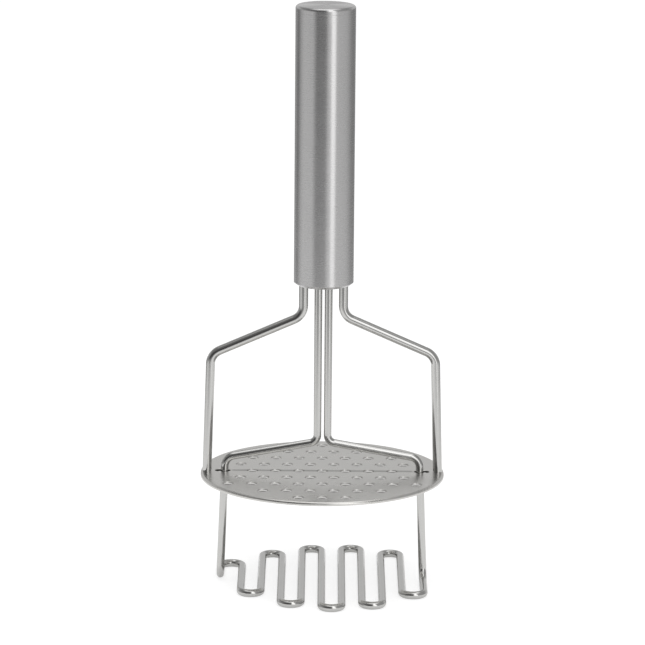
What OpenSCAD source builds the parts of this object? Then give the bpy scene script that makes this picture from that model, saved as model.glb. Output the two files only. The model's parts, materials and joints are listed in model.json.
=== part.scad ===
// Two-in-one potato masher: a plunger handle pushes a perforated plate down over a masher wire.
// It stands on the masher wire. Z is up, X runs across the two legs, and the front is -Y.
// The origin is on the standing surface, in the middle of the masher wire. Sizes are in millimetres.

/* [Handle] */
// Outside diameter of the handle tube
handle_d = 28; // [26:0.5:34]
// Length of the handle, from its underside to the top of its cap
handle_l = 131.9; // [115:0.1:160]
// Wall of the handle tube
handle_wall = 1; // [0.8:0.1:1.5]
// Height of the cap that shows above its seam
cap_h = 3; // [2.2:0.1:5]
// Radius on the cap's top edge
cap_edge_r = 1.4; // [0.6:0.1:2]
// Height of the cone under the handle tube
cone_h = 1.3; // [0.8:0.1:3]
// How far the cone draws in, from the tube to the underside
cone_in = 1.7; // [1:0.1:2.2]

/* [Outer frame] */
// Diameter of the two outer rods that carry the plate
frame_rod_d = 4.3; // [3:0.1:4.4]
// Height of the handle's underside above the plate
frame_h = 90.3; // [80:0.1:110]
// Distance from the edge of the handle's underside to an outer rod
frame_inset = 0.8; // [0.3:0.1:1]
// Straight drop of the outer rods under the handle, down to the corner where they turn out
frame_neck = 15.1; // [11:0.1:20]
// Fall of the outer rods from that corner to their shoulder
frame_fall = 18.9; // [14:0.1:24]
// Bend radius of the outer rods, on their centre line
frame_bend_r = 7.2; // [6:0.1:9]
// Distance from the plate's rim to the centre of a rod's foot
foot_inset = 3; // [2.8:0.1:5]
// How much further out a rod stands at its foot than at its shoulder
frame_lean = 1.7; // [0:0.1:4]

/* [Ricer plate] */
// Diameter of the perforated plate
plate_d = 115; // [96:1:130]
// Height of the plate's top face when the handle is up
plate_h = 54.3; // [48:0.1:65]
// Thickness of the plate
plate_t = 1.2; // [0.7:0.1:1.3]
// Depth of the turned-down rim, from the top face to its lower edge
rim_h = 1.8; // [1.6:0.1:4]
// Radius on the rim's outer edge
rim_edge_r = 1.1; // [0.5:0.1:1.5]
// Diameter of the holes
hole_d = 5; // [3:0.1:6]
// Distance between holes in a row
hole_pitch = 11; // [9:0.1:14]
// Distance between rows of holes
row_pitch = 12.1; // [10:0.1:14]
// Distance from the plate's edge to the field that the hole centres keep to
field_inset = 7; // [6:0.5:15]

/* [Masher wire] */
// Diameter of the masher wire
wire_d = 3.7; // [3:0.1:4]
// Gap between the two slide rods
slide_gap = 1.1; // [0.9:0.1:2]
// Distance from the plate's edge in to a leg, where the leg meets the zigzag
leg_inset = 9.3; // [8.5:0.1:14]
// How much further out a leg stands at its foot than at its shoulder
leg_lean = 2.3; // [1:0.1:4]
// Height of the shoulder's outer corner above the plate
shoulder_h = 6.4; // [4.5:0.1:8]
// Rise of the shoulder from its outer corner to the slide rod
shoulder_rise = 7.8; // [5:0.1:12]
// How much wider each end loop of the zigzag is than the loops between them
end_loop_extra = 0.7; // [0:0.1:3]
// Bend radius where a slide rod turns out into the shoulder
neck_bend_r = 4; // [3:0.1:6]
// Bend radius where the shoulder turns down into the leg
shoulder_bend_r = 5; // [4:0.1:5.6]
// Bend radius where the leg turns into the zigzag
foot_bend_r = 6; // [4:0.1:8]
// Distance from the plate's edge in to the longest loops of the zigzag, on the wire's centre line
loop_inset = 6.5; // [4:0.5:12]

/* [Sliding parts] */
// Depth that the plug reaches into the tube
plug_depth = 11; // [8:0.5:16]
// Wall of the nylon guide outside the slide rods
guide_wall = 1.1; // [0.8:0.1:1.2]
// Thickness of the flange on the guide
guide_flange_t = 1.5; // [1:0.1:3]
// Thickness of the rubber washer that stops the crosshead
bump_t = 2; // [1:0.1:4]
// Thickness of the crosshead's disc
crosshead_t = 5; // [4:0.1:8]
// Height of the boss that centres the spring, on the crosshead and on the spring seat
boss_h = 3.5; // [2:0.1:5]
// Diameter of the pin through the crosshead and the slide rods
pin_d = 1.5; // [1:0.1:1.8]
// Diameter of the spring's wire
spring_wire_d = 1.6; // [1.2:0.1:2]
// Number of turns of the spring
spring_turns = 14; // [10:1:18]
// Thickness of the spring seat's flange
seat_t = 1.2; // [0.8:0.1:3]
// Depth that the cap reaches into the tube
cap_plug_h = 5; // [3:0.1:10]

/* [Hidden] */
$fn = 72;

// Reach of each loop of the zigzag from left to right, as a share of the longest loops.
// The first loop goes to the back, the next one to the front, and so on.
loop_shares = [0.47, 0.54, 0.80, 0.88, 0.98, 1.0, 1.0, 0.91, 0.84, 0.57];

// Clearance of the slide rods in the guide, of parts pressed together, and of plugs in the tube
slide_clear = 0.1;
press_clear = 0.03;
tube_clear = 0.05;

// Clearance of the crosshead and the spring in the tube, and of the bosses in the spring
crosshead_clear = 0.5;
spring_clear = 1.2;
boss_clear = 0.4;

// Gaps round and above the bump washer, and under and over the spring
bump_clear = 0.3;
stop_gap = 0.1;
spring_gap = 0.05;

// Clearance of a leg at the ends and at the sides of its slot, and least web between hole and slot
slot_clear = 0.9;
slot_side_clear = 0.4;
hole_web = 1.5;

// The pin stops short of the crosshead's rim, and what sits on a plug stays inside its edge
pin_inset = 0.8;
edge_margin = 0.3;

// Overrun of cuts
cut = 1;

// A bend is drawn a trace thinner than the runs, as bent rod is, and each run laps a little into it
bend_thin = 0.02;
run_lap = 0.15;

// Spring's rings in a turn and sides of its wire
spring_rings = 8;
spring_sides = 6;

// Radii
handle_r = handle_d / 2;
tube_in_r = handle_r - handle_wall;
plug_r = tube_in_r - tube_clear;
underside_r = handle_r - cone_in;
frame_rod_r = frame_rod_d / 2;
plate_r = plate_d / 2;
hole_r = hole_d / 2;
hole_field_r = plate_r - field_inset;
wire_r = wire_d / 2;
pin_r = pin_d / 2;
spring_wire_r = spring_wire_d / 2;

// Heights at rest, from the standing surface upwards
plate_low_z = plate_h - plate_t;
shoulder_z = plate_h + shoulder_h;
neck_z = shoulder_z + shoulder_rise;
underside_z = plate_h + frame_h;
frame_neck_z = underside_z - frame_neck;
frame_shoulder_z = frame_neck_z - frame_fall;
tube_z = underside_z + cone_h;
plug_top_z = tube_z + plug_depth;
bump_z = plug_top_z + guide_flange_t;
crosshead_z = bump_z + bump_t + stop_gap;
spring_low_z = crosshead_z + crosshead_t + spring_gap;
boss_top_z = crosshead_z + crosshead_t + boss_h;
handle_top_z = underside_z + handle_l;
seam_z = handle_top_z - cap_h;
seat_top_z = seam_z - cap_plug_h;
spring_high_z = seat_top_z - seat_t - spring_gap;

// Travel of the handle, until the plate comes down to the bends at the legs' feet
travel_margin = 1.25;
travel = plate_low_z - wire_r - foot_bend_r - travel_margin;

// Places across the object
slide_x = wire_r + slide_gap / 2;
guide_r = slide_x + wire_r + guide_wall;
guide_flange_r = plug_r - edge_margin;
frame_top_x = underside_r - frame_inset - frame_rod_r;
frame_foot_x = plate_r - foot_inset;
frame_shoulder_x = frame_foot_x - frame_lean;
leg_foot_x = plate_r - leg_inset;
shoulder_x = leg_foot_x - leg_lean;
crosshead_r = tube_in_r - crosshead_clear;
spring_r = tube_in_r - spring_clear - spring_wire_r;
boss_r = spring_r * cos(180 / spring_rings) - spring_wire_r - boss_clear;
bump_in_r = slide_x + wire_r + bump_clear;
bump_out_r = crosshead_r - bump_clear;

// Slots for the legs: as long as the legs drift while the plate comes down
leg_run = shoulder_z - wire_r;
slot_mid_z = plate_h - plate_t / 2;
leg_x_up = leg_foot_x - leg_lean * (slot_mid_z - wire_r) / leg_run;
leg_x_down = leg_foot_x - leg_lean * (slot_mid_z - travel - wire_r) / leg_run;
slot_in_x = leg_x_up - wire_r - slot_clear;
slot_out_x = leg_x_down + wire_r + slot_clear;
slot_r = wire_r + slot_side_clear;

// Zigzag: straight runs with even steps between them, joined by round loops
loop_n = len(loop_shares);
loop_reach = plate_r - loop_inset;
loop_pitch = 2 * (leg_foot_x - end_loop_extra) / loop_n;
first_run_x = -(loop_n - 2) / 2 * loop_pitch;

// A loop's ends along X, its radius, the side that it lies on, and where its round part starts
function run_x(i) =
    i == 0 ? -leg_foot_x : i == loop_n ? leg_foot_x : first_run_x + (i - 1) * loop_pitch;
function loop_r(i) = (run_x(i + 1) - run_x(i)) / 2;
function loop_side(i) = i % 2 == 0 ? 1 : -1;
function loop_y(i) = loop_side(i) * (loop_shares[i] * loop_reach - loop_r(i));

// Centre line of the left leg, from the slide rod's top to the start of the first loop
function leg_points(reach) = [
    [-slide_x, 0, boss_top_z],
    [-slide_x, 0, neck_z],
    [-shoulder_x, 0, shoulder_z],
    [-leg_foot_x, 0, wire_r],
    [-leg_foot_x, reach, wire_r]
];
leg_bends = [0, neck_bend_r, shoulder_bend_r, foot_bend_r, 0];

// Centre line of an outer rod on the right, from the plug down to the plate
frame_points = [
    [frame_top_x, 0, plug_top_z],
    [frame_top_x, 0, frame_neck_z],
    [frame_shoulder_x, 0, frame_shoulder_z],
    [frame_foot_x, 0, plate_h]
];
frame_bends = [0, frame_bend_r, frame_bend_r, 0];

// Unit vector, the turn at a corner of a centre line, and the length that its bend takes off a run
function unit(a) = a / norm(a);
function turn(p, i) = acos(unit(p[i] - p[i - 1]) * unit(p[i + 1] - p[i]));
function trim(p, bends, i) =
    i == 0 || i == len(p) - 1 ? 0 : bends[i] * tan(turn(p, i) / 2);

// Straight run from a to b
module run(a, b, r) {
    v = b - a;
    translate(a)
        rotate([0, acos(v.z / norm(v)), atan2(v.y, v.x)])
            cylinder(r = r, h = norm(v));
}

// Bend of a round rod, in its own plane: it starts on +X and turns towards +Y
module round_bend(bend_r, angle, r) {
    rotate_extrude(angle = angle)
        translate([bend_r, 0])
            circle(r = r - bend_thin);
}

// Bend at the corner p[i] of a centre line
module corner_bend(p, bends, i, r) {
    along = unit(p[i] - p[i - 1]);
    next = unit(p[i + 1] - p[i]);
    inward = unit(next - along * (along * next));
    side = cross(-inward, along);
    middle = p[i] - along * trim(p, bends, i) + inward * bends[i];
    multmatrix([
        [-inward.x, along.x, side.x, middle.x],
        [-inward.y, along.y, side.y, middle.y],
        [-inward.z, along.z, side.z, middle.z],
        [0, 0, 0, 1]
    ])
        round_bend(bends[i], turn(p, i), r);
}

// Round rod bent at the corners of a centre line; last_lap lengthens its last run
module bent_rod(p, bends, r, last_lap = 0) {
    last = len(p) - 1;
    for (i = [0 : last - 1]) {
        way = unit(p[i + 1] - p[i]);
        a = p[i] + way * (trim(p, bends, i) - (i == 0 ? 0 : run_lap));
        b = p[i + 1] - way * (trim(p, bends, i + 1) - (i == last - 1 ? last_lap : run_lap));
        run(a, b, r);
    }
    for (i = [1 : last - 1]) corner_bend(p, bends, i, r);
}

// Turned disc with a boss on it that centres the spring
module spring_disc(r, h) {
    cylinder(r = r, h = h);
    cylinder(r = boss_r, h = h + boss_h);
}

module handle_tube() {
    color("silver")
        translate([0, 0, tube_z])
            difference() {
                cylinder(r = handle_r, h = seam_z - tube_z);
                translate([0, 0, -cut]) cylinder(r = tube_in_r, h = seam_z - tube_z + 2 * cut);
            }
}

// Turned cap, pushed into the tube: its top edge is rounded
module top_cap() {
    color("silver")
        translate([0, 0, seam_z])
            rotate_extrude() {
                square([handle_r, cap_h - cap_edge_r]);
                square([handle_r - cap_edge_r, cap_h]);
                translate([handle_r - cap_edge_r, cap_h - cap_edge_r])
                    intersection() {
                        circle(r = cap_edge_r);
                        square(cap_edge_r);
                    }
                translate([0, -cap_plug_h]) square([plug_r, cap_plug_h]);
            }
}

// Turned plug, with a cone under the tube, a bore for each outer rod and one for the guide
module bottom_plug() {
    color("silver")
        difference() {
            translate([0, 0, underside_z])
                rotate_extrude()
                    polygon([
                        [0, 0],
                        [underside_r, 0],
                        [handle_r, cone_h],
                        [plug_r, cone_h],
                        [plug_r, cone_h + plug_depth],
                        [0, cone_h + plug_depth]
                    ]);
            translate([0, 0, underside_z - cut]) {
                cylinder(r = guide_r + press_clear, h = cone_h + plug_depth + 2 * cut);
                for (x = [-frame_top_x, frame_top_x])
                    translate([x, 0, 0])
                        cylinder(r = frame_rod_r + press_clear, h = cone_h + plug_depth + 2 * cut);
            }
        }
}

// Nylon guide in the plug: the two slide rods run in its bores
module rod_guide() {
    color("whitesmoke")
        translate([0, 0, underside_z])
            difference() {
                union() {
                    cylinder(r = guide_r, h = cone_h + plug_depth);
                    translate([0, 0, cone_h + plug_depth])
                        cylinder(r = guide_flange_r, h = guide_flange_t);
                }
                for (x = [-slide_x, slide_x])
                    translate([x, 0, -cut])
                        cylinder(r = wire_r + slide_clear, h = bump_z - underside_z + 2 * cut);
            }
}

// Outer rod on the right, with its foot cut flat where it stands on the plate
module frame_rod() {
    difference() {
        bent_rod(frame_points, frame_bends, frame_rod_r, cut);
        translate([frame_foot_x - frame_rod_d, -frame_rod_d, plate_h - 2 * cut])
            cube([2 * frame_rod_d, 2 * frame_rod_d, 2 * cut]);
    }
}

module frame_rod_left() {
    color("gainsboro") mirror([1, 0, 0]) frame_rod();
}

module frame_rod_right() {
    color("gainsboro") frame_rod();
}

// Section of the plate: a flat disc with a rounded, turned-down rim
module plate_section() {
    difference() {
        union() {
            translate([0, -rim_h]) square([plate_r - rim_edge_r, rim_h]);
            translate([0, -rim_h]) square([plate_r, rim_h - rim_edge_r]);
            translate([plate_r - rim_edge_r, -rim_edge_r])
                intersection() {
                    circle(r = rim_edge_r);
                    square(rim_edge_r);
                }
        }
        translate([0, -rim_h - cut]) square([plate_r - plate_t, rim_h + cut - plate_t]);
    }
}

// One slot for a leg, on the right
module leg_slot() {
    linear_extrude(rim_h + 2 * cut) {
        translate([slot_in_x + slot_r, -slot_r])
            square([slot_out_x - slot_in_x - 2 * slot_r, 2 * slot_r]);
        for (x = [slot_in_x + slot_r, slot_out_x - slot_r])
            translate([x, 0]) circle(r = slot_r);
    }
}

// Staggered rows of holes, kept inside the field and clear of the slots
module hole_field() {
    rows = floor(hole_field_r / row_pitch);
    cols = ceil(hole_field_r / hole_pitch);
    for (row = [-rows : rows])
        for (col = [-cols : cols]) {
            x = (col + (row % 2 == 0 ? 0 : 1 / 2)) * hole_pitch;
            y = row * row_pitch;
            beside = abs(y) < slot_r + hole_r + hole_web;
            reaches = abs(x) + hole_r + hole_web > slot_in_x;
            if (norm([x, y]) <= hole_field_r && !(beside && reaches))
                translate([x, y, 0]) cylinder(r = hole_r, h = rim_h + 2 * cut);
        }
}

module ricer_plate() {
    color("lightgrey")
        difference() {
            translate([0, 0, plate_h]) rotate_extrude() plate_section();
            translate([0, 0, plate_h - rim_h - cut]) {
                hole_field();
                leg_slot();
                mirror([1, 0, 0]) leg_slot();
            }
        }
}

// Round bar across the crosshead and both slide rods, along X: the pin or its hole
module cross_bar(r, reach) {
    translate([-reach, 0, crosshead_z + crosshead_t / 2])
        rotate([0, 90, 0])
            cylinder(r = r, h = 2 * reach);
}

// Slide rod, shoulder and leg on the left; the right one is the same turned half round
module masher_leg(reach) {
    bent_rod(leg_points(reach), leg_bends, wire_r, run_lap);
}

// Flat zigzag between the legs' feet: round loops joined by straight runs
module zigzag() {
    for (i = [0 : loop_n - 1])
        translate([run_x(i) + loop_r(i), loop_y(i), wire_r])
            rotate(loop_side(i) > 0 ? 0 : 180)
                round_bend(loop_r(i), 180, wire_r);
    for (i = [1 : loop_n - 1]) {
        lap = loop_side(i - 1) * run_lap;
        run(
            [run_x(i), loop_y(i - 1) + lap, wire_r],
            [run_x(i), loop_y(i) - lap, wire_r],
            wire_r
        );
    }
}

// One wire: slide rods, shoulders and legs, with the flat zigzag between the legs' feet
module masher_wire() {
    color("gainsboro")
        difference() {
            union() {
                masher_leg(loop_y(0));
                rotate(180) masher_leg(-loop_y(loop_n - 1));
                zigzag();
            }
            cross_bar(pin_r + press_clear, slide_x + wire_d);
        }
}

module crosshead() {
    color("dimgray")
        difference() {
            translate([0, 0, crosshead_z]) spring_disc(crosshead_r, crosshead_t);
            for (x = [-slide_x, slide_x])
                translate([x, 0, crosshead_z - cut])
                    cylinder(r = wire_r + press_clear, h = crosshead_t + boss_h + 2 * cut);
            cross_bar(pin_r + press_clear, handle_d);
        }
}

module crosshead_pin() {
    color("gray") cross_bar(pin_r, crosshead_r - pin_inset);
}

module bump_washer() {
    color("#2b2b2b")
        translate([0, 0, bump_z])
            difference() {
                cylinder(r = bump_out_r, h = bump_t);
                translate([0, 0, -cut]) cylinder(r = bump_in_r, h = bump_t + 2 * cut);
            }
}

module spring_seat() {
    color("dimgray")
        translate([0, 0, seat_top_z])
            mirror([0, 0, 1])
                spring_disc(crosshead_r, seat_t);
}

// Spring's centre line: its first and last turns lie closer together
spring_end_gap = 0.6;
spring_ring_n = spring_turns * spring_rings;
spring_end_pitch = spring_wire_d + spring_end_gap;
spring_rise = spring_high_z - spring_low_z - spring_wire_d;
spring_pitch = (spring_rise - 2 * spring_end_pitch) / (spring_turns - 2);
function spring_z(t) =
    spring_low_z + spring_wire_r
    + spring_end_pitch * min(t, 1)
    + spring_pitch * min(max(t - 1, 0), spring_turns - 2)
    + spring_end_pitch * max(t - spring_turns + 1, 0);
function spring_middle(i) = [
    spring_r * cos(360 * i / spring_rings),
    spring_r * sin(360 * i / spring_rings),
    spring_z(i / spring_rings)
];
function spring_ring(i) =
    let (
        c = spring_middle(i),
        out = [cos(360 * i / spring_rings), sin(360 * i / spring_rings), 0],
        after = spring_middle(min(i + 1, spring_ring_n)),
        before = spring_middle(max(i - 1, 0)),
        way = unit(after - before - out * (out * (after - before))),
        up = cross(out, way)
    )
    [
        for (k = [0 : spring_sides - 1])
            c + spring_wire_r * (out * cos(360 * k / spring_sides) + up * sin(360 * k / spring_sides))
    ];

module return_spring() {
    points = [for (i = [0 : spring_ring_n]) each spring_ring(i)];
    last = spring_ring_n * spring_sides;
    ends = [
        [for (k = [0 : spring_sides - 1]) k],
        [for (k = [spring_sides - 1 : -1 : 0]) last + k]
    ];
    walls = [
        for (i = [0 : spring_ring_n - 1])
            for (k = [0 : spring_sides - 1])
                let (
                    a = i * spring_sides + k,
                    b = i * spring_sides + (k + 1) % spring_sides
                )
                each [[a, a + spring_sides, b], [b, a + spring_sides, b + spring_sides]]
    ];
    color("darkgray") polyhedron(points, concat(ends, walls));
}

// Least gap between turns of the spring, measured on its centre line
spring_gaps = [
    for (i = [0 : spring_ring_n - spring_rings + 1])
        for (j = [i + spring_rings - 1 : min(i + spring_rings + 1, spring_ring_n)])
            norm(spring_middle(j) - spring_middle(i)) - spring_wire_d
];
echo(least_spring_gap = min(spring_gaps));

handle_tube();
top_cap();
bottom_plug();
rod_guide();
frame_rod_left();
frame_rod_right();
ricer_plate();
masher_wire();
crosshead();
crosshead_pin();
bump_washer();
return_spring();
spring_seat();
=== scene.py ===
import json
import math

import bmesh
import bpy
import numpy as np
from mathutils import Matrix, Vector


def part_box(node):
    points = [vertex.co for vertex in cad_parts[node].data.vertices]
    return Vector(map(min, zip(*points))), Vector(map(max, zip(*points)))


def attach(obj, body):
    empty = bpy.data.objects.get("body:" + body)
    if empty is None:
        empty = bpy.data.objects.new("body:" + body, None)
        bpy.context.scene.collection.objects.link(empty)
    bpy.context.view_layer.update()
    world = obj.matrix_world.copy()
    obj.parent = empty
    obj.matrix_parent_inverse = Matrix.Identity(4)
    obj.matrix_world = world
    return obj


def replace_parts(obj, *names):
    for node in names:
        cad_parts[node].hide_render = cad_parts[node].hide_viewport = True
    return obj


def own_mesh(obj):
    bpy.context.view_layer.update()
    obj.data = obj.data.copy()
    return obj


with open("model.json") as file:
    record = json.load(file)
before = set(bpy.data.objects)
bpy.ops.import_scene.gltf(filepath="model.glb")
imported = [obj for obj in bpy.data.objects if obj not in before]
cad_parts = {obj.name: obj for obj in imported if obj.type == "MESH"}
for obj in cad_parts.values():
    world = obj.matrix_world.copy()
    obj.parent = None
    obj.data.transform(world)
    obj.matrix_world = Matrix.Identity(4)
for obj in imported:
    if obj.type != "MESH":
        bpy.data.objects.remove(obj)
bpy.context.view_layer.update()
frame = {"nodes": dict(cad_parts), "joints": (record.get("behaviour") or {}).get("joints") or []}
mm = 0.001


# Masher wire. One length of polished stainless rod: both ends stand side by side as slide rods,
# then it spreads into two legs that pass through the plate, and between their feet it is bent
# into a flat zigzag. Bent cold round a former, so every bend is a true arc of round wire.
wire_d = 3.7 * mm
slide_gap = 1.1 * mm
leg_lean = 2.3 * mm
shoulder_h = 6.4 * mm
shoulder_rise = 7.8 * mm
end_loop_extra = 0.7 * mm
neck_bend_r = 4 * mm
shoulder_bend_r = 5 * mm
foot_bend_r = 6 * mm
wire_end_chamfer = 0.3 * mm
loop_shares = (0.47, 0.54, 0.80, 0.88, 0.98, 1.0, 1.0, 0.91, 0.84, 0.57)
wire_sides = 32
bend_step = math.radians(7.5)
shortest_straight = 0.001 * mm
smooth_up_to = math.radians(40)

_, wire_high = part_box("masher_wire")
plate_low, plate_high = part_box("ricer_plate")
wire_r = wire_d / 2
slide_x = wire_r + slide_gap / 2
leg_foot_x = wire_high.x - wire_r
loop_reach = wire_high.y - wire_r
shoulder_z = plate_high.z + shoulder_h
neck_z = shoulder_z + shoulder_rise


def take_up(piece):
    """Makes the piece the active one and the only one selected."""
    bpy.ops.object.select_all(action="DESELECT")
    bpy.context.view_layer.objects.active = piece
    piece.select_set(True)


def new_ring(name, radius, sides, middle, turn=(0, 0, 0)):
    """New piece that starts as an open ring of points, in edit mode with all of it selected."""
    bpy.ops.object.select_all(action="DESELECT")
    bpy.ops.mesh.primitive_circle_add(
        vertices=sides, radius=radius, fill_type="NOTHING", location=middle, rotation=turn
    )
    ring = bpy.context.active_object
    ring.name = name
    bpy.ops.object.transform_apply(location=True, rotation=True, scale=True)
    bpy.ops.object.mode_set(mode="EDIT")
    bpy.ops.mesh.select_mode(type="VERT")
    bpy.ops.mesh.select_all(action="SELECT")
    return ring


def bent_rod(name, corners, bends, radius, sides):
    """Round rod drawn along corners, with a round bend of the given radius at each inner corner."""
    corners = [Vector(c) for c in corners]
    first_way = (corners[1] - corners[0]).normalized()
    rod = new_ring(name, radius, sides, corners[0], first_way.to_track_quat("Z", "Y").to_euler())
    at = corners[0]
    for before, corner, after, bend_r in zip(corners, corners[1:], corners[2:], bends):
        way = (corner - before).normalized()
        next_way = (after - corner).normalized()
        angle = way.angle(next_way)
        bend_start = corner - way * bend_r * math.tan(angle / 2)
        if (bend_start - at).length > shortest_straight:
            bpy.ops.mesh.extrude_region_move(TRANSFORM_OT_translate={"value": bend_start - at})
        inward = (next_way - way * way.dot(next_way)).normalized()
        # Spin turns left-handed about its axis.
        bpy.ops.mesh.spin(
            steps=math.ceil(angle / bend_step),
            angle=angle,
            center=bend_start + inward * bend_r,
            axis=inward.cross(way).normalized(),
        )
        at = corner + next_way * bend_r * math.tan(angle / 2)
    bpy.ops.mesh.extrude_region_move(TRANSFORM_OT_translate={"value": corners[-1] - at})
    bpy.ops.object.mode_set(mode="OBJECT")
    return rod


def mark_drawn_way(rod, sides):
    """Stores each point's place on the straight rod before it was bent, as attribute drawn_way."""
    points = np.array([v.co for v in rod.data.vertices])
    rings = points.reshape(-1, sides, 3)
    middles = rings.mean(axis=1)
    along = np.concatenate([[0], np.cumsum(np.linalg.norm(np.diff(middles, axis=0), axis=1))])
    # A spin can store a ring's points in another order, so each is followed along its edges.
    column = {i: i for i in range(sides)}
    links = sorted(tuple(sorted(e.vertices)) for e in rod.data.edges)
    for a, b in links:
        if b // sides == a // sides + 1:
            column[b] = column[a]
    radius = np.linalg.norm(rings[0] - middles[0], axis=1).mean()
    place = [
        (
            radius * math.cos(2 * math.pi * column[i] / sides),
            radius * math.sin(2 * math.pi * column[i] / sides),
            along[i // sides],
        )
        for i in range(len(points))
    ]
    mark = rod.data.attributes.new("drawn_way", "FLOAT_VECTOR", "POINT")
    mark.data.foreach_set("vector", np.array(place, np.float32).ravel())


def pick(piece, kind, test):
    """In edit mode, selects only the verts, edges or faces of the piece that pass the test."""
    mesh = bmesh.from_edit_mesh(piece.data)
    bpy.context.tool_settings.mesh_select_mode = (kind == "verts", kind == "edges", kind == "faces")
    for part in (*mesh.verts, *mesh.edges, *mesh.faces):
        part.select = False
    for part in getattr(mesh, kind):
        part.select_set(bool(test(part)))
    mesh.select_flush_mode()
    bmesh.update_edit_mesh(piece.data)


def is_rod_end(face):
    """A rod's ends are its only faces with more than four corners."""
    return len(face.verts) > 4


def close_ends(piece, chamfer):
    """Fills both open ends of a rod and chamfers their edges, as a cut and tumbled rod has them."""
    take_up(piece)
    bpy.ops.object.mode_set(mode="EDIT")
    pick(piece, "edges", lambda e: e.is_boundary)
    bpy.ops.mesh.edge_face_add()
    pick(piece, "faces", is_rod_end)
    bpy.ops.mesh.inset(thickness=chamfer, depth=0)
    bpy.ops.mesh.select_all(action="SELECT")
    bpy.ops.mesh.normals_make_consistent(inside=False)
    bpy.ops.object.mode_set(mode="OBJECT")
    bpy.ops.object.shade_smooth_by_angle(angle=smooth_up_to)


pitch_x = 2 * (leg_foot_x - end_loop_extra) / len(loop_shares)
run_x = [-leg_foot_x]
run_x += [(i - (len(loop_shares) - 2) / 2) * pitch_x for i in range(len(loop_shares) - 1)]
run_x += [leg_foot_x]
left_leg = [
    (-slide_x, 0, wire_high.z),
    (-slide_x, 0, neck_z),
    (-(leg_foot_x - leg_lean), 0, shoulder_z),
    (-leg_foot_x, 0, wire_r),
]
leg_bends = [neck_bend_r, shoulder_bend_r, foot_bend_r]
zigzag = []
zigzag_bends = []
for i, share in enumerate(loop_shares):
    end_y = (1 if i % 2 == 0 else -1) * share * loop_reach
    zigzag += [(run_x[i], end_y, wire_r), (run_x[i + 1], end_y, wire_r)]
    zigzag_bends += [(run_x[i + 1] - run_x[i]) / 2] * 2
right_leg = [(-x, y, z) for x, y, z in reversed(left_leg)]
masher_wire = bent_rod(
    "bent_masher_wire",
    left_leg + zigzag + right_leg,
    leg_bends + zigzag_bends + leg_bends[::-1],
    wire_r,
    wire_sides,
)
mark_drawn_way(masher_wire, wire_sides)
close_ends(masher_wire, wire_end_chamfer)
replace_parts(masher_wire, "masher_wire")
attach(masher_wire, "masher")


def node_maker(tree):
    """Gives make(kind, inputs, setting=value), which adds a node and sets or links its inputs."""

    def make(kind, inputs=None, **settings):
        node = tree.nodes.new(kind)
        for name, value in settings.items():
            setattr(node, name, value)
        for name, value in (inputs or {}).items():
            if isinstance(value, bpy.types.NodeSocket):
                tree.links.new(value, node.inputs[name])
            else:
                node.inputs[name].default_value = value
        return node

    return make


def new_group(name, inputs, outputs):
    """Empty shader node group with named sockets, given as (name, socket type, default)."""
    group = bpy.data.node_groups.new(name, "ShaderNodeTree")
    for socket_name, socket_type, default in inputs:
        socket = group.interface.new_socket(socket_name, in_out="INPUT", socket_type=socket_type)
        if default is not None:
            socket.default_value = default
    for socket_name, socket_type in outputs:
        group.interface.new_socket(socket_name, in_out="OUTPUT", socket_type=socket_type)
    return group


def worked_lines_group():
    """Fine lines that drawing, rolling or polishing leaves: thin across, long along, uneven."""
    group = new_group(
        "worked_lines",
        [
            ("Place", "NodeSocketVector", None),
            ("Fine Scale", "NodeSocketVector", (8000.0, 8000.0, 60.0)),
            ("Broad Scale", "NodeSocketVector", (1500.0, 1500.0, 30.0)),
            ("Broad Share", "NodeSocketFloat", 0.4),
        ],
        [("Lines", "NodeSocketFloat"), ("Clouds", "NodeSocketFloat")],
    )
    make = node_maker(group)
    given = make("NodeGroupInput")

    def stretched_noise(scale, detail, roughness):
        place = make(
            "ShaderNodeVectorMath",
            {0: given.outputs["Place"], 1: given.outputs[scale]},
            operation="MULTIPLY",
        )
        noise = make(
            "ShaderNodeTexNoise",
            {"Vector": place.outputs[0], "Scale": 1.0, "Detail": detail, "Roughness": roughness},
        )
        return noise.outputs["Fac"]

    lines = make(
        "ShaderNodeMix",
        {
            "Factor": given.outputs["Broad Share"],
            "A": stretched_noise("Fine Scale", 3.0, 0.6),
            "B": stretched_noise("Broad Scale", 2.0, 0.5),
        },
    )
    clouds = make(
        "ShaderNodeTexNoise",
        {"Vector": given.outputs["Place"], "Scale": 90.0, "Detail": 3.0, "Roughness": 0.55},
    )
    make(
        "NodeGroupOutput",
        {"Lines": lines.outputs["Result"], "Clouds": clouds.outputs["Fac"]},
    )
    return group


worked_lines = worked_lines_group()


def spread(make, value, start, end, low=0.0, high=1.0):
    """Goes from low, where the value is at start, to high, where it is at end."""
    spreading = make(
        "ShaderNodeMapRange",
        {"Value": value, "From Min": start, "From Max": end, "To Min": low, "To Max": high},
    )
    return spreading.outputs["Result"]


def noise_between(make, noise, low, high):
    """Spreads a noise, most of which lies between 0.3 and 0.7, over low to high."""
    return spread(make, noise, 0.3, 0.7, low, high)


def tinted(make, share, under, over):
    """Colour that goes from under to over as the share goes from 0 to 1."""
    tone = make("ShaderNodeMix", {"Factor": share, "A": under, "B": over}, data_type="RGBA")
    return tone.outputs[2]


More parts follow.
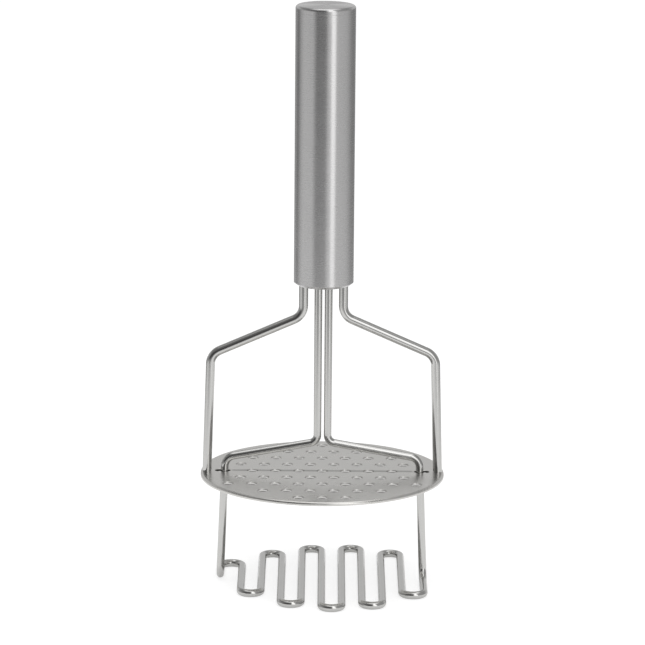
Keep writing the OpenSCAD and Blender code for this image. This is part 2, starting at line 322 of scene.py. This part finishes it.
def steel(name, dark, light, smooth, rough, line_height, lines, place, along=0.0, turn=0.0):
    """Worked stainless steel. Lines and clouds vary its colour, its roughness and its surface.

    Place is drawn_way or object. Where lines run round a piece, along is how far they stretch its
    highlights, and turn is the way that they are stretched, as a share of a full turn.
    """
    material = bpy.data.materials.new(name)
    material.use_nodes = True
    tree = material.node_tree
    tree.nodes.clear()
    make = node_maker(tree)
    if place == "drawn_way":
        spot = make("ShaderNodeAttribute", attribute_name="drawn_way").outputs["Vector"]
    else:
        spot = make("ShaderNodeTexCoord").outputs["Object"]
    worked = make("ShaderNodeGroup", node_tree=worked_lines)
    tree.links.new(spot, worked.inputs["Place"])
    for socket, value in lines.items():
        worked.inputs[socket].default_value = value
    mixed = make(
        "ShaderNodeMix",
        {
            "Factor": 0.5,
            "A": noise_between(make, worked.outputs["Lines"], 0, 1),
            "B": noise_between(make, worked.outputs["Clouds"], 0, 1),
        },
    ).outputs["Result"]
    bump = make(
        "ShaderNodeBump",
        {"Height": worked.outputs["Lines"], "Strength": 1.0, "Distance": line_height},
    )
    shader = make(
        "ShaderNodeBsdfPrincipled",
        {
            "Base Color": tinted(make, mixed, (*dark, 1.0), (*light, 1.0)),
            "Roughness": noise_between(make, mixed, smooth, rough),
            "Normal": bump.outputs["Normal"],
            "Metallic": 1.0,
            "Anisotropic": along,
            "Anisotropic Rotation": turn,
        },
    )
    make("ShaderNodeOutputMaterial", {"Surface": shader.outputs["BSDF"]})
    return material, tree, shader


rod_steel, _, _ = steel(
    "polished_rod_steel",
    dark=(0.54, 0.537, 0.525),
    light=(0.61, 0.607, 0.595),
    smooth=0.12,
    rough=0.18,
    line_height=0.003 * mm,
    lines={"Fine Scale": (6000.0, 6000.0, 60.0), "Broad Scale": (1500.0, 1500.0, 40.0)},
    place="drawn_way",
)
masher_wire.data.materials.append(rod_steel)


# Crosshead, its pin and the spring seat. Turned steel: the crosshead is a disc with a boss, pressed
# on the tops of the two slide rods and held by a cross pin, and it pushes on the spring. The seat
# lies under the cap and centres the spring's other end.
turned_steel, _, _ = steel(
    "turned_steel",
    dark=(0.50, 0.50, 0.50),
    light=(0.60, 0.60, 0.59),
    smooth=0.25,
    rough=0.38,
    line_height=0.01 * mm,
    lines={"Fine Scale": (900.0, 900.0, 5000.0), "Broad Scale": (200.0, 200.0, 1500.0)},
    place="object",
)
for name in ("crosshead", "crosshead_pin", "spring_seat"):
    frame["nodes"][name].material_slots[0].material = turned_steel


# Return spring. Fourteen turns of round spring wire between the crosshead and the spring seat:
# the end turns lie closer together. It closes up as the handle is pressed down.
spring_turns = 14
spring_wire_d = 1.6 * mm
spring_end_gap = 0.6 * mm
spring_end_chamfer = 0.1 * mm
spring_sides = 16
spring_step = math.radians(12)

spring_low, spring_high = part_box("return_spring")
spring_wire_r = spring_wire_d / 2
spring_r = spring_high.x - spring_wire_r
spring_end_pitch = spring_wire_d + spring_end_gap
spring_rise = spring_high.z - spring_low.z - spring_wire_d
spring_pitch = (spring_rise - 2 * spring_end_pitch) / (spring_turns - 2)


def coil_height(turns):
    """Height of the spring's centre line after so many turns, above its first point."""
    middle = min(max(turns - 1, 0), spring_turns - 2)
    last = max(turns - spring_turns + 1, 0)
    return spring_end_pitch * (min(turns, 1) + last) + spring_pitch * middle


def coil(name):
    """Round wire wound up about Z: a ring of the wire spun round and round, then raised as it goes."""
    across = (math.radians(90), 0, 0)
    spring = new_ring(name, spring_wire_r, spring_sides, (spring_r, 0, 0), across)
    steps = round(2 * math.pi / spring_step) * spring_turns
    bpy.ops.mesh.spin(
        steps=steps,
        angle=2 * math.pi * spring_turns,
        center=(0, 0, 0),
        axis=(0, 0, -1),
        use_auto_merge=False,
    )
    bpy.ops.object.mode_set(mode="OBJECT")
    low = spring_low.z + spring_wire_r
    for i, vertex in enumerate(spring.data.vertices):
        vertex.co.z += low + coil_height(spring_turns * (i // spring_sides) / steps)
    return spring


return_spring = coil("coil_spring")
mark_drawn_way(return_spring, spring_sides)
close_ends(return_spring, spring_end_chamfer)
spring_steel, _, _ = steel(
    "spring_steel",
    dark=(0.40, 0.40, 0.41),
    light=(0.50, 0.50, 0.51),
    smooth=0.22,
    rough=0.34,
    line_height=0.006 * mm,
    lines={"Fine Scale": (6000.0, 6000.0, 80.0), "Broad Scale": (1500.0, 1500.0, 40.0)},
    place="drawn_way",
)
return_spring.data.materials.append(spring_steel)
press_travel = frame["joints"][0]["range_m"][1]
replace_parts(return_spring, "return_spring")
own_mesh(return_spring)
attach(return_spring, "handle")


# Ricer plate. Stainless sheet, blanked and drawn in a press: it has a rolled, turned-down rim,
# staggered rows of pierced holes, drawn down to short collars, and a slot for each leg of the wire.
plate_t = 1.2 * mm
rim_edge_r = 1.1 * mm
rim_inner_r = 0.4 * mm
hole_d = 5 * mm
hole_pitch = 11 * mm
row_pitch = 12.1 * mm
field_inset = 7 * mm
hole_web = 1.5 * mm
slot_clear = 0.9 * mm
slot_side_clear = 0.4 * mm
collar_wall = 0.4 * mm
collar_h = 0.4 * mm
pierced_edge = 0.06 * mm
punch_roll = 0.4 * mm
plate_sides = 192
hole_sides = 40
rim_edge_steps = 8
rim_inner_steps = 4
punch_roll_steps = 4
merge_within = 0.002 * mm
level_within = 0.01 * mm
punched_edge_turn = math.radians(57)

plate_r = plate_high.x
hole_r = hole_d / 2
slot_r = wire_r + slot_side_clear
slot_mid_z = plate_high.z - plate_t / 2
leg_run = shoulder_z - wire_r
leg_x_up = leg_foot_x - leg_lean * (slot_mid_z - wire_r) / leg_run
leg_x_down = leg_foot_x - leg_lean * (slot_mid_z - press_travel - wire_r) / leg_run
slot_in_x = leg_x_up - wire_r - slot_clear
slot_out_x = leg_x_down + wire_r + slot_clear


def arc(middle, radius, start, end, steps):
    """Points of a round stretch of a profile, (distance from axis, height), angles in degrees."""
    angles = [math.radians(start + (end - start) * i / steps) for i in range(steps + 1)]
    return [(middle[0] + radius * math.cos(a), middle[1] + radius * math.sin(a)) for a in angles]


def turned(name, profile, sides, closed=False):
    """Part turned about Z: a ring is raised and widened from point to point of the profile."""
    first_r, first_z = profile[0]
    part = new_ring(name, first_r, sides, (0, 0, first_z))
    ends = profile + [profile[0]] if closed else profile
    for (r0, z0), (r1, z1) in zip(ends, ends[1:]):
        bpy.ops.mesh.extrude_region_move(TRANSFORM_OT_translate={"value": (0, 0, z1 - z0)})
        bpy.ops.transform.resize(value=(r1 / r0, r1 / r0, 1), center_override=(0, 0, z1))
    if not closed:
        pick(part, "edges", lambda e: e.is_boundary)
        bpy.ops.mesh.edge_face_add()
    bpy.ops.mesh.select_all(action="SELECT")
    bpy.ops.mesh.remove_doubles(threshold=merge_within)
    bpy.ops.mesh.normals_make_consistent(inside=False)
    bpy.ops.object.mode_set(mode="OBJECT")
    return part


def new_tool(name):
    """Empty mesh in edit mode, to which add_drill adds."""
    bpy.ops.object.select_all(action="DESELECT")
    bpy.ops.object.add(type="MESH")
    tool = bpy.context.active_object
    tool.name = name
    bpy.ops.object.mode_set(mode="EDIT")
    bpy.ops.mesh.select_mode(type="VERT")
    return tool


def add_drill(radius, x, y, low_z, high_z, sides, stretch=0.0):
    """In edit mode, adds an upright drill to the tool; stretch draws it out along X for a slot."""
    bpy.ops.mesh.primitive_cylinder_add(
        vertices=sides,
        radius=radius,
        depth=high_z - low_z,
        location=(x, y, (low_z + high_z) / 2),
        rotation=(0, 0, math.pi / sides),
    )
    if stretch:
        mesh = bmesh.from_edit_mesh(bpy.context.edit_object.data)
        for vertex in mesh.verts:
            if vertex.select and vertex.co.x > x:
                vertex.co.x += stretch
        bmesh.update_edit_mesh(bpy.context.edit_object.data)


def combine(piece, tool, operation):
    """Cuts the tool out of the piece, or joins it on, and throws the tool away."""
    bpy.ops.object.mode_set(mode="OBJECT")
    take_up(piece)
    combining = piece.modifiers.new("combine", "BOOLEAN")
    combining.operation = operation
    combining.solver = "EXACT"
    combining.object = tool
    bpy.ops.object.modifier_apply(modifier=combining.name)
    bpy.data.objects.remove(tool)


def ease_edges(piece, width, segments=2, angle=50):
    """Rounds edges sharper than angle degrees a little, shades smooth and keeps flat faces flat."""
    take_up(piece)
    bpy.ops.object.shade_smooth()
    ease = piece.modifiers.new("ease", "BEVEL")
    ease.width = width
    ease.segments = segments
    ease.limit_method = "ANGLE"
    ease.angle_limit = math.radians(angle)
    bpy.ops.object.modifier_apply(modifier=ease.name)
    keep_flat = piece.modifiers.new("keep_flat", "WEIGHTED_NORMAL")
    bpy.ops.object.modifier_apply(modifier=keep_flat.name)


rim_top = (plate_r - rim_edge_r, plate_high.z - rim_edge_r)
rim_under = (plate_r - plate_t - rim_inner_r, plate_high.z - plate_t - rim_inner_r)
plate_profile = (
    arc(rim_top, rim_edge_r, 90, 0, rim_edge_steps)
    + [(plate_r, plate_low.z), (plate_r - plate_t, plate_low.z)]
    + arc(rim_under, rim_inner_r, 0, 90, rim_inner_steps)
)
ricer_plate = turned("pierced_plate", plate_profile, plate_sides)
drill_low = plate_low.z - plate_t
drill_high = plate_high.z + plate_t
collar_low = plate_high.z - plate_t - collar_h
field_r = plate_r - field_inset
hole_places = []
rows = math.floor(field_r / row_pitch)
cols = math.ceil(field_r / hole_pitch)
for row in range(-rows, rows + 1):
    for col in range(-cols, cols + 1):
        x = (col + (0.5 if row % 2 else 0)) * hole_pitch
        y = row * row_pitch
        beside_slot = abs(y) < slot_r + hole_r + hole_web and abs(x) + hole_r + hole_web > slot_in_x
        if math.hypot(x, y) <= field_r and not beside_slot:
            hole_places.append((x, y))
collars = new_tool("plate_collars")
for x, y in hole_places:
    add_drill(hole_r + collar_wall, x, y, collar_low, slot_mid_z, hole_sides)
combine(ricer_plate, collars, "UNION")
drills = new_tool("plate_drills")
for x, y in hole_places:
    add_drill(hole_r, x, y, drill_low, drill_high, hole_sides)
slot_stretch = slot_out_x - slot_in_x - 2 * slot_r
for left_end in (slot_in_x, -slot_out_x):
    add_drill(slot_r, left_end + slot_r, 0, drill_low, drill_high, hole_sides, slot_stretch)
combine(ricer_plate, drills, "DIFFERENCE")


def is_punched_edge(edge):
    """A sharp edge in the plate's top face: the rim of a hole or slot, which the punch rolls in."""
    in_top_face = min(v.co.z for v in edge.verts) > plate_high.z - level_within
    return in_top_face and edge.calc_face_angle(0) > punched_edge_turn


take_up(ricer_plate)
bpy.ops.object.mode_set(mode="EDIT")
pick(ricer_plate, "edges", is_punched_edge)
bpy.ops.mesh.bevel(offset=punch_roll, segments=punch_roll_steps)
bpy.ops.object.mode_set(mode="OBJECT")
ease_edges(ricer_plate, pierced_edge)

# The punch leaves the upper part of each hole's wall bright and tears the lower part, which is painted
# dark both for the duller torn steel and as the shade deep in the hole.
# A faint dark line, a painted soft shadow of the wire above, runs across the plate from slot to slot.
burnish_h = 0.9 * mm
burnish_fade = collar_wall / 2
wire_shadow_half = 0.8 * mm
wire_shadow_fade = 1.2 * mm
# Torn lower wall: dull torn steel, darkened further as painted shade deep in the hole.
torn_and_shaded_tone = (0.20, 0.195, 0.19, 1.0)
burnished_tone = (0.70, 0.695, 0.68, 1.0)
# Painted shade: the slot walls are coloured near-black, as the deep shade round the legs.
slot_shade_tone = (0.07, 0.07, 0.065, 1.0)
# Painted shadow: tone of the wire's soft shadow on the plate.
wire_shadow_tone = (0.37, 0.365, 0.35, 1.0)
hole_wall_roughness = 0.32
upright_normal_z = 0.3
rim_width = 2 * rim_edge_r
slot_reach_y = 1.2 * slot_r


def pierced_wall(face):
    """1 for the upright wall of a round hole in the plate, -1 for a slot's wall, 0 for the rest."""
    middle = face.center
    if abs(face.normal.z) > upright_normal_z or middle.xy.length > plate_r - rim_width:
        return 0
    return -1 if abs(middle.y) < slot_reach_y and abs(middle.x) > slot_in_x - plate_t else 1


# Marks the walls that get painted shade: 1 for a hole's wall, which is torn and shaded low down, -1 for
# a slot's wall, which is all shade.
sheared_and_shaded = ricer_plate.data.attributes.new("sheared_and_shaded", "FLOAT", "FACE")
sheared_and_shaded.data.foreach_set("value", [pierced_wall(face) for face in ricer_plate.data.polygons])
plate_steel, plate_tree, plate_shader = steel(
    "pressed_plate_steel",
    dark=(0.635, 0.625, 0.60),
    light=(0.72, 0.71, 0.69),
    smooth=0.27,
    rough=0.35,
    line_height=0.003 * mm,
    lines={"Fine Scale": (60.0, 5000.0, 900.0), "Broad Scale": (25.0, 900.0, 300.0)},
    place="object",
)
make = node_maker(plate_tree)
wall_kind = make("ShaderNodeAttribute", attribute_name="sheared_and_shaded").outputs["Fac"]
hole_wall = make("ShaderNodeMath", {0: wall_kind, 1: 0.0}, operation="MAXIMUM").outputs["Value"]
slot_wall = make("ShaderNodeMath", {0: wall_kind, 1: 0.0}, operation="LESS_THAN").outputs["Value"]
plate_spot = make("ShaderNodeSeparateXYZ", {"Vector": make("ShaderNodeTexCoord").outputs["Object"]})
off_middle = make("ShaderNodeMath", {0: plate_spot.outputs["Y"]}, operation="ABSOLUTE")
off_side = make("ShaderNodeMath", {0: plate_spot.outputs["X"]}, operation="ABSOLUTE")
# Painted shadow of the wire: a soft dark band along the plate's middle, between the slots.
in_wire_shadow = spread(make, off_middle.outputs["Value"], wire_shadow_half, wire_shadow_half + wire_shadow_fade, 1.0, 0.0)
between_slots = spread(make, off_side.outputs["Value"], slot_in_x - hole_web, slot_in_x, 1.0, 0.0)
wire_shadow_share = make("ShaderNodeMath", {0: in_wire_shadow, 1: between_slots}, operation="MULTIPLY")
burnish_low = plate_high.z - burnish_h
burnished = spread(make, plate_spot.outputs["Z"], burnish_low - burnish_fade, burnish_low)
# Painted shade: each hole's wall goes dark below its burnished band.
wall_tone = tinted(make, burnished, torn_and_shaded_tone, burnished_tone)
face_tone = plate_shader.inputs["Base Color"].links[0].from_socket
face_roughness = plate_shader.inputs["Roughness"].links[0].from_socket
holed_tone = tinted(make, hole_wall, face_tone, wall_tone)
# Painted shade on the slot walls.
slot_shaded_tone = tinted(make, slot_wall, holed_tone, slot_shade_tone)
wire_shadowed_tone = tinted(make, wire_shadow_share.outputs["Value"], slot_shaded_tone, wire_shadow_tone)
plate_roughness = make(
    "ShaderNodeMix", {"Factor": hole_wall, "A": face_roughness, "B": hole_wall_roughness}
)
plate_tree.links.new(wire_shadowed_tone, plate_shader.inputs["Base Color"])
plate_tree.links.new(plate_roughness.outputs["Result"], plate_shader.inputs["Roughness"])
ricer_plate.data.materials.append(plate_steel)
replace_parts(ricer_plate, "ricer_plate")
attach(ricer_plate, "handle")


# Outer rods. Two lengths of the same polished rod, bent out like shoulders. Their tops are welded
# in the handle's plug and their feet are welded flat on the plate, close to its rim.
rod_d = 4.3 * mm
frame_neck = 15.1 * mm
frame_fall = 18.9 * mm
frame_bend_r = 7.2 * mm
foot_inset = 3 * mm
frame_lean = 1.7 * mm
rod_end_chamfer = 0.02 * mm

rod_r = rod_d / 2
plug_low, plug_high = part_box("bottom_plug")
rod_low, rod_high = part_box("frame_rod_right")
rod_top_x = rod_low.x + rod_r
rod_neck_z = plug_low.z - frame_neck
rod_foot_x = plate_r - foot_inset
rod_corners = [
    (rod_top_x, 0, rod_high.z),
    (rod_top_x, 0, rod_neck_z),
    (rod_foot_x - frame_lean, 0, rod_neck_z - frame_fall),
    (rod_foot_x, 0, plate_high.z),
]


def outer_rod(name, side):
    """Rod on the side given as -1 for left or 1 for right, its foot cut level to stand on the plate."""
    corners = [(side * x, y, z) for x, y, z in rod_corners]
    rod = bent_rod(name, corners, [frame_bend_r] * 2, rod_r, wire_sides)
    foot_ring = len(rod.data.vertices) - wire_sides
    for vertex in rod.data.vertices[foot_ring:]:
        vertex.co.z = plate_high.z
    mark_drawn_way(rod, wire_sides)
    close_ends(rod, rod_end_chamfer)
    rod.data.materials.append(rod_steel)
    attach(rod, "handle")
    return rod


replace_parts(outer_rod("outer_rod_left", -1), "frame_rod_left")
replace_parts(outer_rod("outer_rod_right", 1), "frame_rod_right")


# Handle plug. Turned from stainless bar: a shallow cone closes the handle's lower end. It is
# bored for the two outer rods and for the nylon guide, and pressed into the tube.
guide_wall = 1.1 * mm
tube_wall = 1 * mm
tube_clear = 0.05 * mm
press_clear = 0.03 * mm
cone_in = 1.7 * mm
bore_overrun = 1.2 * mm
turned_edge = 0.06 * mm
turned_corner = 30
handle_sides = 160
guide_bore_sides = 64
rod_bore_sides = 40

tube_low, tube_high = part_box("handle_tube")
handle_r = tube_high.x
plug_r = handle_r - tube_wall - tube_clear
guide_r = slide_x + wire_r + guide_wall
plug = turned(
    "turned_plug",
    [
        (handle_r - cone_in, plug_low.z),
        (handle_r, tube_low.z),
        (plug_r, tube_low.z),
        (plug_r, plug_high.z),
    ],
    handle_sides,
)
bores = new_tool("plug_bores")
bore_low = plug_low.z - bore_overrun
bore_high = plug_high.z + bore_overrun
add_drill(guide_r + press_clear, 0, 0, bore_low, bore_high, guide_bore_sides)
for side in (-1, 1):
    add_drill(rod_r + press_clear, side * rod_top_x, 0, bore_low, bore_high, rod_bore_sides)
combine(plug, bores, "DIFFERENCE")
ease_edges(plug, turned_edge, angle=turned_corner)
handle_steel, handle_tree, handle_shader = steel(
    "brushed_handle_steel",
    dark=(0.565, 0.56, 0.56),
    light=(0.579, 0.574, 0.574),
    smooth=0.255,
    rough=0.285,
    line_height=0.0007 * mm,
    lines={"Fine Scale": (45.0, 45.0, 6000.0), "Broad Scale": (15.0, 15.0, 1200.0)},
    place="object",
    along=0.8,
    turn=0.25,
)
make = node_maker(handle_tree)
round_the_handle = make("ShaderNodeTangent", direction_type="RADIAL", axis="Z")
handle_tree.links.new(round_the_handle.outputs["Tangent"], handle_shader.inputs["Tangent"])
plug.data.materials.append(handle_steel)
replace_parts(plug, "bottom_plug")
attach(plug, "handle")


# Rod guide. Natural nylon bush with a flange, pushed up into the plug from inside the handle.
# The two slide rods run in its bores.
def moulded(name, dark, light, grain, detail, smooth, rough, bump_share, bump_height):
    """Moulded nylon or rubber. A fine grain varies its colour, its roughness and its surface."""
    material = bpy.data.materials.new(name)
    material.use_nodes = True
    tree = material.node_tree
    make = node_maker(tree)
    place = make("ShaderNodeTexCoord").outputs["Object"]
    noise = make(
        "ShaderNodeTexNoise",
        {"Vector": place, "Scale": grain, "Detail": detail, "Roughness": 0.6},
    ).outputs["Fac"]
    bump = make("ShaderNodeBump", {"Height": noise, "Strength": bump_share, "Distance": bump_height})
    shader = tree.nodes["Principled BSDF"]
    tree.links.new(tinted(make, noise, (*dark, 1.0), (*light, 1.0)), shader.inputs["Base Color"])
    tree.links.new(noise_between(make, noise, smooth, rough), shader.inputs["Roughness"])
    tree.links.new(bump.outputs["Normal"], shader.inputs["Normal"])
    return material


nylon = moulded(
    "natural_nylon",
    dark=(0.70, 0.68, 0.63),
    light=(0.78, 0.77, 0.73),
    grain=900.0,
    detail=4.0,
    smooth=0.38,
    rough=0.5,
    bump_share=0.4,
    bump_height=0.02 * mm,
)
frame["nodes"]["rod_guide"].material_slots[0].material = nylon


# Bump washer. Moulded black rubber ring on the guide's flange: it takes the knock when the
# spring throws the handle back up.
rubber = moulded(
    "moulded_rubber",
    dark=(0.018, 0.018, 0.018),
    light=(0.035, 0.034, 0.033),
    grain=2500.0,
    detail=3.0,
    smooth=0.55,
    rough=0.7,
    bump_share=0.5,
    bump_height=0.03 * mm,
)
frame["nodes"]["bump_washer"].material_slots[0].material = rubber


# Handle tube. Thin stainless tube, cut square at both ends and brushed round on a lathe. It is
# pressed over the plug below and the cap above.
tube_in_r = handle_r - tube_wall
tube = turned(
    "brushed_tube",
    [
        (handle_r, tube_low.z),
        (handle_r, tube_high.z),
        (tube_in_r, tube_high.z),
        (tube_in_r, tube_low.z),
    ],
    handle_sides,
    closed=True,
)
ease_edges(tube, turned_edge, angle=turned_corner)
tube.data.materials.append(handle_steel)
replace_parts(tube, "handle_tube")
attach(tube, "handle")


# Handle cap. Turned stainless disc with a rounded top edge, pressed into the tube. A hairline
# seam runs round the handle where it meets the tube.
cap_edge_r = 1.4 * mm
cap_edge_steps = 10

cap_low, cap_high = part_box("top_cap")
cap_round = (handle_r - cap_edge_r, cap_high.z - cap_edge_r)
cap = turned(
    "turned_cap",
    [(plug_r, cap_low.z), (plug_r, tube_high.z), (handle_r, tube_high.z)]
    + arc(cap_round, cap_edge_r, 0, 90, cap_edge_steps),
    handle_sides,
)
ease_edges(cap, turned_edge, angle=turned_corner)
cap.data.materials.append(handle_steel)
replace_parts(cap, "top_cap")
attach(cap, "handle")


# Studio table. White paper that keeps the object's shadow. The steel mirrors it close by as a pale
# grey, and further out the mirrored paper gives way to the room.
floor_half = 6.0
paper_lit = 0.8
paper_seen = 0.32
paper_mirrored = 0.6
glow_seen = 0.8
glow_mirrored = 0.4


def ramp(make, share, stops, span=1, offset=0):
    """Plain greys along a share; stops are (place, brightness), from -offset to span - offset."""
    node = make("ShaderNodeValToRGB", {"Fac": share})
    points = node.color_ramp.elements
    points.remove(points[-1])
    for i, (place, brightness) in enumerate(stops):
        point = points[0] if i == 0 else points.new((place + offset) / span)
        point.color = (brightness, brightness, brightness, 1)
    return node.outputs["Color"]


bpy.ops.object.select_all(action="DESELECT")
bpy.ops.mesh.primitive_plane_add(size=2 * floor_half)
floor = bpy.context.active_object
floor.name = "studio_floor"
floor_paper = bpy.data.materials.new("floor_paper")
floor_paper.use_nodes = True
floor_paper.node_tree.nodes.clear()
make = node_maker(floor_paper.node_tree)
floor_place = make("ShaderNodeTexCoord").outputs["Object"]
floor_distance = make("ShaderNodeVectorMath", {0: floor_place}, operation="LENGTH")
beyond = ramp(
    make,
    floor_distance.outputs["Value"],
    [(0, 0), (0.25, 0), (0.35, 0.15), (0.5, 0.5), (0.6, 0.78), (0.8, 0.94), (1, 1)],
)
rays = make("ShaderNodeLightPath")
seen = rays.outputs["Is Camera Ray"]
mirrored = rays.outputs["Is Glossy Ray"]
mirrored_beyond = make("ShaderNodeMath", {0: beyond, 1: mirrored}, operation="MULTIPLY")
seen_tone = make("ShaderNodeMix", {"Factor": seen, "A": paper_lit, "B": paper_seen})
paper_tone = make(
    "ShaderNodeMix", {"Factor": mirrored, "A": seen_tone.outputs["Result"], "B": paper_mirrored}
)
seen_glow = make("ShaderNodeMix", {"Factor": seen, "A": 0.0, "B": glow_seen})
paper_glow = make(
    "ShaderNodeMix", {"Factor": mirrored, "A": seen_glow.outputs["Result"], "B": glow_mirrored}
)
paper = make("ShaderNodeBsdfDiffuse", {"Color": paper_tone.outputs["Result"]})
glow = make("ShaderNodeEmission", {"Strength": paper_glow.outputs["Result"]})
table = make("ShaderNodeAddShader", {0: paper.outputs["BSDF"], 1: glow.outputs["Emission"]})
room_beyond = make("ShaderNodeBsdfTransparent")
whole_floor = make(
    "ShaderNodeMixShader",
    {
        "Fac": mirrored_beyond.outputs["Value"],
        1: table.outputs["Shader"],
        2: room_beyond.outputs["BSDF"],
    },
)
make("ShaderNodeOutputMaterial", {"Surface": whole_floor.outputs["Shader"]})
floor.data.materials.append(floor_paper)


# Studio room. The camera sees plain white. The steel mirrors grey walls with a tall bright strip at
# the right of the camera, darker walls at its left and a white ceiling. Each band of wall is a list
# of (degrees to the right of the camera, brightness). A softbox hangs overhead.
low_walls = [
    (-180, 0.35), (-140, 0.34), (-132, 0.14), (-122, 0.18), (-106, 0.52), (-90, 0.73), (-49, 0.82),
    (-33, 0.23), (-14, 0.23), (3, 0.26), (18, 0.36), (22, 0.45), (25.5, 1.45), (40, 1.45), (44, 0.74),
    (70, 0.70), (90, 0.63), (106, 0.46), (120, 0.27), (136, 0.22), (180, 0.35),
]
middle_walls = [
    (-180, 0.65), (-125, 0.65), (-112, 0.45), (-80, 0.35), (-50, 0.07), (3, 0.07), (13, 1.6),
    (36, 1.7), (42, 0.40), (110, 0.38), (125, 0.62), (180, 0.65),
]
upper_walls = [
    (-180, 0.50), (-150, 0.45), (-120, 0.28), (-60, 0.22), (-20, 0.14), (4, 0.30), (9, 0.42),
    (12, 1.9), (33, 1.9), (37, 0.44), (110, 0.36), (140, 0.40), (180, 0.50),
]
wall_borders = [(-6, 4), (22, 32), (55, 69)]
full_turn = 360
half_turn = 180
quarter_turn = 90
ceiling_tone = (1.4, 1.4, 1.4, 1)
seen_white = (1, 1, 1, 1)
softbox_at = (-0.2, -0.3, 1.4)
softbox_size = 0.9
softbox_power = 9

world = bpy.data.worlds.new("studio_room")
bpy.context.scene.world = world
world.use_nodes = True
world.node_tree.nodes.clear()
make = node_maker(world.node_tree)
direction = make("ShaderNodeSeparateXYZ", {"Vector": make("ShaderNodeTexCoord").outputs["Generated"]})
to_camera = make("ShaderNodeMath", {0: direction.outputs["Y"], 1: -1.0}, operation="MULTIPLY")
azimuth = make(
    "ShaderNodeMath",
    {0: direction.outputs["X"], 1: to_camera.outputs["Value"]},
    operation="ARCTAN2",
)
elevation = make("ShaderNodeMath", {0: direction.outputs["Z"]}, operation="ARCSINE")
round_share = spread(make, azimuth.outputs["Value"], -math.pi, math.pi)
up_share = spread(make, elevation.outputs["Value"], -math.pi / 2, math.pi / 2)
low_band, middle_band, upper_band = [
    ramp(make, round_share, walls, full_turn, half_turn)
    for walls in (low_walls, middle_walls, upper_walls)
]
ceiling = make("ShaderNodeRGB")
ceiling.outputs[0].default_value = ceiling_tone
room = low_band
for above, (low, high) in zip([middle_band, upper_band, ceiling.outputs[0]], wall_borders):
    stops = [(-quarter_turn, 0), (low, 0), (high, 1), (quarter_turn, 1)]
    share = ramp(make, up_share, stops, half_turn, quarter_turn)
    room = tinted(make, share, room, above)
rays = make("ShaderNodeLightPath")
backdrop = tinted(make, rays.outputs["Is Camera Ray"], room, seen_white)
sky = make("ShaderNodeBackground", {"Color": backdrop, "Strength": 1.0})
make("ShaderNodeOutputWorld", {"Surface": sky.outputs["Background"]})

bpy.ops.object.light_add(type="AREA", location=softbox_at)
overhead = bpy.context.active_object
overhead.name = "overhead_softbox"
overhead.data.shape = "SQUARE"
overhead.data.size = softbox_size
overhead.data.energy = softbox_power
overhead.visible_glossy = False


# Camera. A long lens a little above the table, tipped down at the plate and rolled by half a
# degree, as the photograph has it.
camera_side = -0.41 * mm
camera_back = 1911.4 * mm
camera_height = 556.0 * mm
aim_height = 126.2 * mm
camera_roll = math.radians(0.45)
camera_lens = 232.97
film_width = 36

camera_at = Vector((camera_side, -camera_back, camera_height))
camera_aim = Vector((camera_side, 0, aim_height))
camera_data = bpy.data.cameras.new("camera")
camera = bpy.data.objects.new("camera", camera_data)
bpy.context.scene.collection.objects.link(camera)
camera_data.lens = camera_lens
camera_data.sensor_width = film_width
ahead = (camera_aim - camera_at).normalized()
level = Vector((1, 0, 0))
above = level.cross(ahead)
right = level * math.cos(camera_roll) + above * math.sin(camera_roll)
up = above * math.cos(camera_roll) - level * math.sin(camera_roll)
facing = Matrix((right, up, -ahead)).transposed().to_4x4()
camera.matrix_world = Matrix.Translation(camera_at) @ facing
bpy.context.scene.camera = camera
bpy.context.scene.view_settings.view_transform = "Standard"
